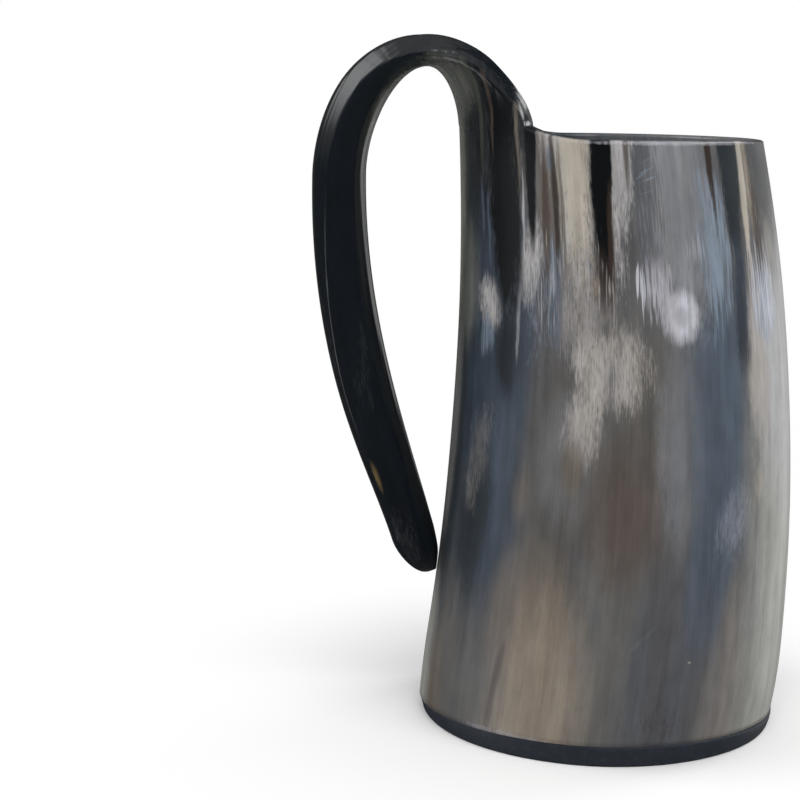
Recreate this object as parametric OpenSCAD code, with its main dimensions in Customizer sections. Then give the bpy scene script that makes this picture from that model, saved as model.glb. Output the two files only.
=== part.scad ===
// Horn tankard: a cow horn cut short, with its wide end closed by a disc and its tip end bent into a handle.
// Millimetres. The origin is the middle of the base's underside, +Z is up and the handle points to -X.

/* [Cup] */
// Height of the rim above the table
rim_h = 145; // [125:1:170]
// Outside radius of the rim
rim_r = 36.9; // [32:0.1:42]
// Outside radius of the horn at its foot
foot_r = 45.3; // [40:0.1:50]
// Thickness of the horn's wall
wall = 4; // [3:0.1:5]
// Swell of the side between foot and rim
belly = 0.7; // [0:0.1:2]
// Distance that the cup bows away from the handle at mid height
bow = 4.5; // [0:0.1:7]
// Distance that the rim's middle lies toward the handle
rim_shift = 0.6; // [0:0.1:3]
// Distance that the horn draws in at its foot
foot_draw = 0.6; // [0.2:0.1:1.5]
// Height over which the foot draws in
foot_draw_h = 15; // [8:1:25]
// Height of the rounded lip
lip_h = 1.6; // [0.8:0.1:2.5]

/* [Base] */
// Thickness of the base that shows below the horn
base_t = 5; // [3:0.5:8]
// Distance that the base's edge draws in toward the table
base_draw = 0.6; // [0.2:0.1:2]
// Chamfer round the base's underside
base_chamfer = 0.6; // [0.2:0.1:1.2]
// Height of the spigot inside the horn
spigot_h = 7; // [4:0.5:10]
// Thickness of the glue between the base and the horn
glue_t = 0.4; // [0.3:0.1:0.8]
// Thickness of the sealed floor over the spigot
seal_floor = 1.4; // [0.8:0.1:2.5]
// Radius of the fillet between floor and wall
seal_fillet = 2.5; // [1:0.1:4]

/* [Handle] */
// Half angle of the strip that is left standing above the rim
strip_angle = 52; // [45:1:60]
// Height that the rim climbs beside the strip
strip_climb = 3; // [1:0.1:4]
// Height of the arch's underside above the rim
arch_rise = 16.4; // [12:0.1:22]
// Distance from the rim's wall out to the middle of the arch
arch_out = 7.9; // [5:0.1:12]
// Gap for the fingers between the rim's wall and the grip
finger_gap = 22.6; // [18:0.1:32]
// Depth of the widest part of the finger gap below the rim
grip_drop = 10; // [5:0.5:20]
// Height of the tip's end above the table
tip_h = 38; // [25:1:55]
// Lean of the tip toward the cup, in degrees
tip_lean = 17; // [10:1:25]
// Depth of the bevel that seats the tip on the wall
tip_bevel = 1.6; // [0.5:0.1:3]
// Gap between the tip and the wall that it rests on
tip_gap = 0.3; // [0.2:0.05:0.6]
// Thickness of the handle at the top of the arch
arch_thick = 7.5; // [6:0.1:10]
// Width of the handle at the top of the arch
arch_width = 26; // [20:0.5:32]
// Thickness of the grip
grip_thick = 13.8; // [10:0.1:17]
// Width of the grip
grip_width = 19; // [14:0.5:24]
// Thickness of the tip
tip_thick = 9.8; // [6:0.1:12]
// Width of the tip
tip_width = 11; // [8:0.5:14]
// Rounding of the tip's end
tip_round = 1.6; // [0.8:0.1:2.5]
// How much shorter the tip is on the side of the wall
tip_slant = 1.6; // [0:0.1:3]

/* [Hidden] */

// Clearance on each side of the cured glue
fit = 0.05;
$fn = 120;

// Counts of columns across the strip and round the rest of the cup, and of rows
STRIP_STEPS = 18;
CUP_STEPS = 42;
WALL_ROWS = 12;
LIP_POINTS = 4;
HANDLE_ROWS = 36;

foot_z = base_t + glue_t;
seat_r = foot_r - foot_draw - wall;
spigot_r = seat_r - glue_t;
spigot_z = base_t + spigot_h;
floor_z = spigot_z + seal_floor;
seat_z = floor_z + seal_fillet;

// Angles of the columns from -X: first those of the strip, then the rest of the way round
rest_angle = 360 - 2 * strip_angle;
angles = concat(
    [for (i = [0 : STRIP_STEPS]) strip_angle * (2 * i / STRIP_STEPS - 1)],
    [for (i = [1 : CUP_STEPS - 1]) strip_angle + rest_angle * i / CUP_STEPS]);
columns = len(angles);
half_step = max(strip_angle / STRIP_STEPS, rest_angle / CUP_STEPS / 2);

function mix(a, b, t) = a + (b - a) * t;
function smooth(t) = let (s = max(0, min(1, t))) s * s * (3 - 2 * s);
function hump(t) = 4 * t * (1 - t);

// The cup's outside: share of its height, radius, middle and the side below the handle
function share(z) = (z - foot_z) / (rim_h - foot_z);
function drawn_in(z) = foot_draw * pow(max(0, 1 - (z - foot_z) / foot_draw_h), 2);
function out_r(z) = mix(foot_r, rim_r, share(z)) + belly * hump(share(z)) - drawn_in(z);
function mid_x(z) = bow * hump(share(z)) - rim_shift * share(z);
function side_x(z) = mid_x(z) - out_r(z);

// The cup's inside: a round seat for the base that runs out into the natural wall
SEAT_RUNOUT = 14;
function runout(z) = smooth((z - seat_z) / SEAT_RUNOUT);
function in_r(z) = mix(seat_r / cos(half_step), out_r(z) - wall, runout(z));
function in_x(z) = mid_x(z) * runout(z);

function on_ring(x, r, a, z) = [x - r * cos(a), -r * sin(a), z];

// The rim climbs to the strip within this angle of its edge
CLIMB_ANGLE = 24;
function wrapped(a) = abs(a > 180 ? a - 360 : a);
function climb_share(a) = 1 - max(0, wrapped(a) - strip_angle) / CLIMB_ANGLE;
function lip_z(a) = rim_h - lip_h + strip_climb * pow(max(0, climb_share(a)), 2);

// One column of the cup: up the outside, over the lip, down the inside, with rows closer together at the foot
ROW_CROWDING = 1.25;
function row_share(i) = pow(i / WALL_ROWS, ROW_CROWDING);
function column(a) = let (top = lip_z(a), r = out_r(top) - wall / 2) concat(
    [for (i = [0 : WALL_ROWS]) let (z = mix(foot_z, top, row_share(i)))
        on_ring(mid_x(z), out_r(z), a, z)],
    [for (i = [1 : LIP_POINTS]) let (b = 180 * i / (LIP_POINTS + 1))
        on_ring(mid_x(top), r + wall / 2 * cos(b), a, top + lip_h * sin(b))],
    [for (i = [WALL_ROWS : -1 : 0]) let (z = mix(foot_z, top, row_share(i)))
        on_ring(in_x(z), in_r(z), a, z)]);
points_up = 2 * (WALL_ROWS + 1) + LIP_POINTS;
function cup_index(c, i) = (c % columns) * points_up + (i % points_up);

// The handle's underside runs through four places: root, top of the arch, widest gap and tip
root_z = rim_h - lip_h + strip_climb;
root = [side_x(root_z), root_z];
root_slope = side_x(root_z) - side_x(root_z - 1);
arch = [side_x(rim_h) - arch_out, rim_h + arch_rise];
grip = [side_x(rim_h) - finger_gap, rim_h - grip_drop];
tip = [side_x(tip_h) + tip_bevel, tip_h];
tip_way = [sin(tip_lean), -cos(tip_lean)];
rise = arch[1] - root[1];
fall = grip[1] - tip[1];
// Each stretch is a cubic curve, which leaves a place straight for this share of the way to the next
LEAVE_ROOT = 0.5;
ROUND_ARCH = 0.5;
REACH_GRIP = 0.45;
LEAVE_GRIP = 0.31;
REACH_TIP = 0.28;
bends = [
    [root, root + LEAVE_ROOT * rise * [root_slope, 1], arch + [ROUND_ARCH * arch_out, 0], arch],
    [arch, [mix(arch[0], grip[0], ROUND_ARCH), arch[1]], [grip[0], mix(grip[1], arch[1], REACH_GRIP)], grip],
    [grip, grip - [0, LEAVE_GRIP * fall], tip - REACH_TIP * fall * tip_way, tip]];
STRETCHES = len(bends);

function bend_point(b, t) = pow(1 - t, 3) * b[0] + 3 * t * pow(1 - t, 2) * b[1]
    + 3 * t * t * (1 - t) * b[2] + pow(t, 3) * b[3];
function bend_way(b, t) = pow(1 - t, 2) * (b[1] - b[0]) + 2 * t * (1 - t) * (b[2] - b[1])
    + t * t * (b[3] - b[2]);
function stretch(u) = min(STRETCHES - 1, floor(u));
function path(u) = bend_point(bends[stretch(u)], u - stretch(u));
function way(u) = let (w = bend_way(bends[stretch(u)], u - stretch(u))) w / norm(w);

// Sizes of the section at the root, half way up, the arch, the shoulder, the grip, below it and the tip
root_r = out_r(root_z);
root_sag = root_r * (1 - cos(strip_angle));
root_half = root_r * sin(strip_angle);
inner_half = (root_r - wall) * sin(strip_angle);
inner_edge = wall + (root_r - wall) * (1 - cos(strip_angle));
arch_half = arch_width / 2;
grip_half = grip_width / 2;
tip_half = tip_width / 2;
// Half width across the underside's edges
under_half = [root_half, mix(arch_half, root_half, 0.5), arch_half - 1, grip_half, grip_half - 1,
    mix(tip_half, grip_half, 0.5), tip_half - 1];
// Half width across the top's edges
top_half = [inner_half, mix(arch_half, inner_half, 0.45), arch_half - 2.5, grip_half - 2, grip_half - 2.5,
    mix(tip_half, grip_half, 0.4) - 1, tip_half - 2];
// Depth of the underside's curve from its middle to its edges
under_sag = [root_sag, 0.45 * root_sag, 0.3 * arch_thick, 0.25 * grip_thick, 0.25 * grip_thick,
    0.25 * grip_thick, 0.3 * tip_thick];
// Thickness at the middle and at the top's edges
mid_thick = [wall, mix(wall, arch_thick, 0.45), arch_thick - 0.7, grip_thick - 1.8, grip_thick - 1,
    grip_thick, tip_thick];
edge_thick = [inner_edge, 0.7 * inner_edge, arch_thick - 0.2, grip_thick - 2.5, grip_thick - 3,
    grip_thick - 3, tip_thick - 2.5];
// Swell of the side faces, which the root has none of
side_swell = [0, 0.6, 1.4, 1.4, 1.6, 1.4, 1.2];
STATIONS = len(mid_thick) - 1;

// A curve through a list of station values, with u from 0 to the number of stretches
function station(list, i) = list[max(0, min(STATIONS, i))];
function cubic(p, q, r, s, t) = q + t * (r - p) / 2 + t * t * (p - 2.5 * q + 2 * r - s / 2)
    + t * t * t * (1.5 * (q - r) + (s - p) / 2);
function along(list, u) = let (s = u * STATIONS / STRETCHES, i = min(STATIONS - 1, floor(s)))
    cubic(station(list, i - 1), list[i], list[i + 1], station(list, i + 2), s - i);

// A point of the handle from its distance across and its height over the underside, kept out of the wall
function placed(u, across, over, ahead) = let (p = path(u), w = way(u)) clear_of_wall(
    [p[0] + over * w[1] + ahead * w[0], -across, p[1] - over * w[0] + ahead * w[1]], u);
function clear_of_wall(p, u) = let (
    dx = p[0] - mid_x(p[2]), far = norm([dx, p[1]]), r = out_r(p[2]) + tip_gap)
    (u < STRETCHES - 1 || far > r) ? p : [mid_x(p[2]) + dx * r / far, p[1] * r / far, p[2]];

// One loop round the handle: underside, near edge, top and far edge, shrunk toward its middle at the end
function arc_across(i) = sin(angles[i]) / sin(strip_angle);
function arc_depth(i) = (1 - cos(angles[i])) / (1 - cos(strip_angle));
function loop(u, shrink, ahead) = let (
    wu = along(under_half, u), wt = along(top_half, u), sag = along(under_sag, u),
    mid = along(mid_thick, u), edge = along(edge_thick, u), swell = along(side_swell, u),
    slant = u == STRETCHES ? tip_slant : 0,
    section = concat(
        [for (i = [0 : STRIP_STEPS]) [wu * arc_across(i), sag * arc_depth(i)]],
        [for (i = [1 : LIP_POINTS]) let (t = i / (LIP_POINTS + 1))
            [mix(wu, wt, t) + swell * sin(180 * t), mix(sag, edge, t)]],
        [for (i = [STRIP_STEPS : -1 : 0]) [wt * arc_across(i), mix(mid, edge, arc_depth(i))]],
        [for (i = [LIP_POINTS : -1 : 1]) let (t = i / (LIP_POINTS + 1))
            [-mix(wu, wt, t) - swell * sin(180 * t), mix(sag, edge, t)]]))
    [for (p = section) let (over = mid / 2 + (p[1] - mid / 2) * shrink)
        placed(u, p[0] * shrink, over, ahead - slant * (1 - over / mid))];
loop_points = 2 * (STRIP_STEPS + 1) + 2 * LIP_POINTS;

// Loops along the handle, then three that round its end
END_TURNS = [30, 60, 80];
end_half = tip_thick / 2;
handle_loops = concat(
    [for (i = [1 : HANDLE_ROWS]) loop(STRETCHES * i / HANDLE_ROWS, 1, 0)],
    [for (b = END_TURNS) loop(STRETCHES, 1 - tip_round * (1 - cos(b)) / end_half, tip_round * sin(b))]);
end_point = placed(STRETCHES, 0, mid_thick[STATIONS] / 2, tip_round - tip_slant / 2);

// The first loop is the open edge of the cup's wall at the strip
function root_index(m) =
    m <= STRIP_STEPS ? cup_index(m, WALL_ROWS)
    : m <= STRIP_STEPS + LIP_POINTS ? cup_index(STRIP_STEPS, WALL_ROWS + m - STRIP_STEPS)
    : m <= 2 * STRIP_STEPS + LIP_POINTS + 1
        ? cup_index(2 * STRIP_STEPS + LIP_POINTS + 1 - m, WALL_ROWS + LIP_POINTS + 1)
    : cup_index(0, WALL_ROWS + loop_points - m);
cup_count = columns * points_up;
function loop_index(l, m) = let (k = m % loop_points)
    l == 0 ? root_index(k) : cup_count + (l - 1) * loop_points + k;
function in_strip(c, i) = c < STRIP_STEPS && i >= WALL_ROWS && i <= WALL_ROWS + LIP_POINTS;

horn_points = concat(
    [for (a = angles) each column(a)],
    [for (l = handle_loops) each l],
    [end_point]);
horn_faces = concat(
    [for (c = [0 : columns - 1], i = [0 : points_up - 1]) if (!in_strip(c, i))
        each [[cup_index(c, i), cup_index(c, i + 1), cup_index(c + 1, i + 1)],
            [cup_index(c, i), cup_index(c + 1, i + 1), cup_index(c + 1, i)]]],
    [for (l = [0 : len(handle_loops) - 1], m = [0 : loop_points - 1])
        each [[loop_index(l, m), loop_index(l + 1, m), loop_index(l + 1, m + 1)],
            [loop_index(l, m), loop_index(l + 1, m + 1), loop_index(l, m + 1)]]],
    [for (m = [0 : loop_points - 1])
        [loop_index(len(handle_loops), m), len(horn_points) - 1, loop_index(len(handle_loops), m + 1)]]);

// Cup and handle in one piece of horn
module horn() {
    color("dimgray")
        polyhedron(points = horn_points, faces = horn_faces, convexity = 8);
}

// Black disc under the horn, with a spigot that goes up inside it
module base_disc() {
    edge_r = foot_r - foot_draw;
    low_r = edge_r - base_draw;
    color([0.13, 0.14, 0.17])
        rotate_extrude()
            polygon([[0, 0], [low_r - base_chamfer, 0], [low_r, base_chamfer], [edge_r, base_t],
                [spigot_r, base_t], [spigot_r, spigot_z], [0, spigot_z]]);
}

// Cured glue under the wall and round the spigot, and the sealed floor with its fillet
module base_seal() {
    FILLET_STEPS = 8;
    ring_r = foot_r - foot_draw - fit;
    sleeve_r = seat_r - fit;
    fillet = [for (i = [0 : FILLET_STEPS]) let (b = 90 * i / FILLET_STEPS)
        [sleeve_r - seal_fillet * (1 - cos(b)), floor_z + seal_fillet * (1 - sin(b))]];
    color("tan")
        rotate_extrude()
            polygon(concat(
                [[0, spigot_z], [spigot_r + fit, spigot_z], [spigot_r + fit, base_t], [ring_r, base_t],
                    [ring_r, foot_z - fit], [sleeve_r, foot_z - fit]],
                fillet, [[0, floor_z]]));
}

horn();
base_disc();
base_seal();
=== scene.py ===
"""Dresses the horn tankard: a cow horn whose tip is bent into a handle, on a painted base disc."""
import logging
import math
from dataclasses import dataclass, field
from enum import Enum
from typing import Any, Callable, Optional, Sequence

import bmesh
import bpy
from mathutils import Matrix, Vector


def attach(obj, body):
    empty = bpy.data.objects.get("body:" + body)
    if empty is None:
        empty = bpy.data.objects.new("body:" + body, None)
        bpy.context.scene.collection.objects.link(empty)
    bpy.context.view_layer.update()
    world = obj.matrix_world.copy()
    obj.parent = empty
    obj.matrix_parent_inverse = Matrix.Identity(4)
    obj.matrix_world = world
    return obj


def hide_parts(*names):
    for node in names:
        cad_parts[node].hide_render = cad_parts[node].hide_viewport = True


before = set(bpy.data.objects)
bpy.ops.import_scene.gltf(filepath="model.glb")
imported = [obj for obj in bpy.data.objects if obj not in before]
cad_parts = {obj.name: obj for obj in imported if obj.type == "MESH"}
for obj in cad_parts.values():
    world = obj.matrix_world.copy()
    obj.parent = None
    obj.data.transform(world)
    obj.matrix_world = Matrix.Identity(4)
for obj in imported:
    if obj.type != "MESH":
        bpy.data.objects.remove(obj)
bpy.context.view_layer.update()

LOG = logging.getLogger("horn_tankard")
MM = 0.001
BODY = "root"

# Points up each side face of the handle, and so vertices over the lip, whose columns run on into them
SIDE_POINTS = 12

# How far the hand-cut foot runs below its level, in millimetres: all round, more toward the handle and the
# far side, and a little more again at the far side
FOOT_DROP_ROUND = 0.3
FOOT_DROP_ENDS = 1.7
FOOT_DROP_FAR = 0.5

# The kinds of shader node that come up most
MATH = "ShaderNodeMath"
VECTOR_MATH = "ShaderNodeVectorMath"
MAP_RANGE = "ShaderNodeMapRange"
MIX = "ShaderNodeMix"
NOISE = "ShaderNodeTexNoise"
BUMP = "ShaderNodeBump"

Pair = tuple[float, float]
Colour = tuple[float, float, float, float]

# What the horn's bands multiply its colour by where they run cool and where they run warm
COOL_CAST: Colour = (0.98, 0.995, 1.02, 1.0)
WARM_CAST: Colour = (1.02, 1.0, 0.98, 1.0)


def mix(a: float, b: float, share: float) -> float:
    """The value at a share of the way from a to b."""
    return a + (b - a) * share


def mix_pair(a: Pair, b: Pair, share: float) -> Pair:
    """The point at a share of the way from a to b."""
    return mix(a[0], b[0], share), mix(a[1], b[1], share)


def smooth(share: float) -> float:
    """A share from 0 to 1 that starts and ends gently."""
    s = min(1.0, max(0.0, share))
    return s * s * (3.0 - 2.0 * s)


def hump(share: float) -> float:
    """A parabola that is 0 at both ends and 1 half way."""
    return 4.0 * share * (1.0 - share)


def foot_drop(angle: float) -> float:
    """How far the hand-cut foot runs below its level at an angle in degrees, in millimetres."""
    toward = math.cos(math.radians(angle))
    return FOOT_DROP_ROUND + FOOT_DROP_ENDS * toward ** 4 + FOOT_DROP_FAR * min(0.0, toward) ** 2


def spline(values: Sequence[float], place: float) -> float:
    """A smooth curve through evenly spaced values.

    Args:
        values: The values that the curve passes through.
        place: Where to read it, from 0 at the first value to 1 at the last.

    Returns:
        The curve's value there.
    """
    last = len(values) - 1
    i = min(last - 1, int(place * last))
    t = place * last - i
    p, q, r, s = (values[min(last, max(0, i + k))] for k in (-1, 0, 1, 2))
    return q + t * ((r - p) / 2 + t * (p - 2.5 * q + 2 * r - s / 2 + t * (1.5 * (q - r) + (s - p) / 2)))


def linear(hex_colour: str, alpha: float = 1.0) -> Colour:
    """Turns an sRGB hex colour into linear light.

    Args:
        hex_colour: Six hex digits after a hash sign.
        alpha: The fourth value of the result.

    Returns:
        Red, green, blue and alpha.
    """
    parts = (int(hex_colour[i:i + 2], 16) / 255 for i in (1, 3, 5))
    red, green, blue = (c / 12.92 if c <= 0.04045 else ((c + 0.055) / 1.055) ** 2.4 for c in parts)
    return red, green, blue, alpha


def add_node(tree: bpy.types.NodeTree, kind: str, inputs: Optional[dict] = None, **settings: Any) -> Any:
    """Adds one node with its settings, and sets or links its inputs.

    Args:
        tree: The node tree that gets the node.
        kind: The node's type name.
        inputs: Socket names, or numbers where a node repeats a name, each with a value or a socket to link.
        settings: The node's own properties.

    Returns:
        The new node.
    """
    node = tree.nodes.new(kind)
    for name, value in settings.items():
        setattr(node, name, value)
    for key, value in (inputs or {}).items():
        if isinstance(value, bpy.types.NodeSocket):
            tree.links.new(value, node.inputs[key])
        else:
            node.inputs[key].default_value = value
    return node


def new_material(name: str) -> tuple[bpy.types.Material, bpy.types.NodeTree, Any]:
    """Makes an empty material with its output node.

    Args:
        name: The material's name.

    Returns:
        The material, its node tree and its output node.
    """
    material = bpy.data.materials.new(name)
    material.use_nodes = True
    tree = material.node_tree
    tree.nodes.clear()
    return material, tree, add_node(tree, "ShaderNodeOutputMaterial")


def turned_place(radius: float, turn: float, z: float) -> Vector:
    """A point round the Z axis in metres, from millimetres and an angle in radians."""
    return Vector((radius * math.cos(turn), radius * math.sin(turn), z)) * MM


def loop_edges(ring: Sequence[bmesh.types.BMVert], bm: bmesh.types.BMesh) -> list[bmesh.types.BMEdge]:
    """The edges that join a closed ring of vertices, in order.

    Args:
        ring: Vertices in order round the ring.
        bm: The mesh that holds them.

    Returns:
        One edge for each step round the ring.
    """
    return [bm.edges.get((v, ring[(i + 1) % len(ring)])) for i, v in enumerate(ring)]


def extrude_ring(bm: bmesh.types.BMesh, ring: Sequence[bmesh.types.BMVert]) -> list[bmesh.types.BMVert]:
    """Extrudes a closed ring of edges once, in place.

    Args:
        bm: The mesh.
        ring: Vertices in order round the ring.

    Returns:
        The new vertices, in the same order as the ring's.
    """
    made = bmesh.ops.extrude_edge_only(bm, edges=loop_edges(ring, bm))["geom"]
    fresh = {v for v in made if isinstance(v, bmesh.types.BMVert)}
    return [next(o for e in v.link_edges if (o := e.other_vert(v)) in fresh) for v in ring]


def turn_profile(bm: bmesh.types.BMesh, profile: Sequence[Pair], segments: int,
                 place: Callable[[float, float, float], Vector]) -> None:
    """Turns a profile into a closed solid, ring by ring from a circle.

    Args:
        bm: The mesh, which is empty.
        profile: Radius and height of each ring, in millimetres.
        segments: How many vertices a ring has.
        place: Gives a vertex's place from a radius, an angle in radians and a height.
    """
    made = bmesh.ops.create_circle(bm, cap_ends=True, segments=segments, radius=profile[0][0] * MM)
    ring = list(made["verts"])
    for row, (radius, z) in enumerate(profile):
        ring = extrude_ring(bm, ring) if row else ring
        for i, vert in enumerate(ring):
            vert.co = place(radius, 2 * math.pi * i / segments, z)
    bmesh.ops.contextual_create(bm, geom=loop_edges(ring, bm))


def finish_object(bm: bmesh.types.BMesh, name: str, material: bpy.types.Material) -> bpy.types.Object:
    """Turns a bmesh into a smooth-shaded object at the origin.

    Args:
        bm: The mesh, which is freed.
        name: The object's name.
        material: Its one material.

    Returns:
        The new object, linked to the scene.
    """
    bmesh.ops.recalc_face_normals(bm, faces=bm.faces)
    mesh = bpy.data.meshes.new(name)
    bm.to_mesh(mesh)
    bm.free()
    mesh.shade_smooth()
    mesh.materials.append(material)
    piece = bpy.data.objects.new(name, mesh)
    bpy.context.scene.collection.objects.link(piece)
    return piece


class Pigment(Enum):
    """Tones of the horn, as polished cow horn shows them in plain light; a few streaks also lay them on as
    painted highlights, reflections and shade.
    """

    INK = "#060a0e"
    COAL = "#10151a"
    SOOT = "#15191e"
    NIGHT = "#262c31"
    BARK = "#30261f"
    UMBER = "#4a3f38"
    COCOA = "#564b45"
    PLUM = "#463b3e"
    SLATE = "#323c48"
    FLINT = "#4a5562"
    STEEL = "#4e5b6a"
    MIST = "#7f8d9c"
    ASH = "#505155"
    TAUPE = "#54514d"
    DOVE = "#5e5d5b"
    STONE = "#7d7f83"
    TAN = "#6a6157"
    PEBBLE = "#706c69"
    SAND = "#8a7f71"
    CREAM = "#a09b96"
    PEARL = "#a6a4a3"
    BONE = "#a9a297"
    LILAC = "#c0c0c8"
    PALE = "#9d9d97"
    FROST = "#b2b4b6"
    OLIVE = "#41443c"
    MOSS = "#767870"
    AMBER = "#8f784a"


@dataclass(frozen=True)
class Streak:
    """One patch of colour in the horn, a tongue that lies along its grain; most are pigment, a few are
    painted highlights, reflections and shade.

    Angles are degrees round the cup from the handle, and heights are millimetres along the grain. Soft is
    the share of the patch that fades, ragged how far the torn fibres move its edge, lean the degrees that it
    swings for each millimetre up, tilt the millimetres that it climbs for each degree, blunt the power that
    squares off its ends, fibrous whether long fibres tear it, not short ones, and sparse how far apart its
    specks lie.
    """

    name: str
    pigment: Pigment
    centre: float
    half: float
    low: float
    high: float
    soft: float = 0.6
    ragged: float = 0.6
    strength: float = 1.0
    blunt: float = 2.0
    lean: float = 0.0
    tilt: float = 0.0
    fibrous: bool = False
    sparse: float = 0.0


GROUND_STREAKS = (
    # Dark slate tone beside the handle; from the handle's foot up it is partly painted shade, standing in for
    # the shadow of the handle and its tip.
    Streak("left night and painted shade", Pigment.NIGHT, 10, 20, 33, 200, 0.9, 0.3, 0.95, 4),
    Streak("left slate", Pigment.SLATE, 38, 18, 34, 132, 1, 0.3, 0.95, 4, 0.03),
    Streak("light slate band", Pigment.STEEL, 42, 5, 48, 88, 1, 0.4, 0.35, 2, 0.05),
    Streak("deep slate band", Pigment.SOOT, 43, 6, 86, 104, 1, 0.5, 0.85),
    Streak("deep slate foot", Pigment.NIGHT, 31, 8, 38, 72, 1, 0.5, 0.9, 2, 0.08),
    Streak("slate under the root", Pigment.SLATE, 50, 5, 78, 104, 1, 0.4, 0.6),
    Streak("middle taupe", Pigment.TAUPE, 63, 11, 42, 102, 1, 0.3, 0.8),
    Streak("middle light", Pigment.STONE, 66, 9, 58, 86, 1, 0.3, 0.35),
    Streak("warm brown", Pigment.COCOA, 87, 12, 44, 78, 1, 0.3, 0.85, 2, 0.05),
    Streak("dark taupe", Pigment.TAUPE, 94, 11, 68, 100, 1, 0.3, 0.8),
    Streak("light taupe", Pigment.STONE, 103, 7, 54, 101, 1, 0.5, 0.5),
    Streak("tan shoulder", Pigment.TAN, 58, 13, 18, 50, 1, 0.2, 0.8, 2, 0.05),
    Streak("low tan", Pigment.SAND, 63.2, 14.6, -36, 37, 1, 0.2, 0.9, 2, 0.06),
    Streak("low grey", Pigment.DOVE, 33, 8, -14, 25, 1, 0.2, 0.8),
    Streak("low left tan", Pigment.TAN, 18, 8, -14, 22, 1, 0.2, 0.8),
    Streak("low ash", Pigment.ASH, 103, 14, -24, 46, 1, 0.2, 0.9, 2, 0.05),
    Streak("low beige", Pigment.PEBBLE, 125, 9, -30, 40, 1, 0.2, 0.95, 2, 0.03),
    Streak("right slate", Pigment.FLINT, 118, 10.5, 44, 112, 1, 0.5, 0.95, 4),
    Streak("right slate foot", Pigment.FLINT, 114, 7, 26, 60, 1, 0.4, 0.7),
    Streak("top stone", Pigment.STONE, 106, 13, 104, 210, 0.8, 0.6, 0.95, 4),
    # Painted reflection: bluish-white streaks that stand in for gloss broken up by the fibres.
    Streak("mist", Pigment.MIST, 119, 5.6, 107, 136, 1.2, 1.6, 0.75, fibrous=True),
    Streak("right pale", Pigment.PALE, 165, 31, -80, 122, 1, 0.15, 1.0, 4),
    Streak("upper right pale", Pigment.FROST, 164, 27, 58, 120, 1, 0.3, 0.6, 2),
    Streak("pale beige", Pigment.CREAM, 135, 6, 76, 114, 0.9, 0.4, 0.9, 2, -0.1),
    # Painted reflections: these two pale bands down the left edge stand in for the white surround and table
    # glancing off the wall.
    Streak("left edge painted reflection", Pigment.PALE, 3, 9, 46, 112, 1, 0.3, 0.5, 4),
    Streak("low left painted reflection", Pigment.PALE, 4, 9, -20, 36, 1, 0.3, 0.85),
    Streak("left mist", Pigment.MOSS, 17, 8, 97, 124, 1, 0.6, 0.55),
)

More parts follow.
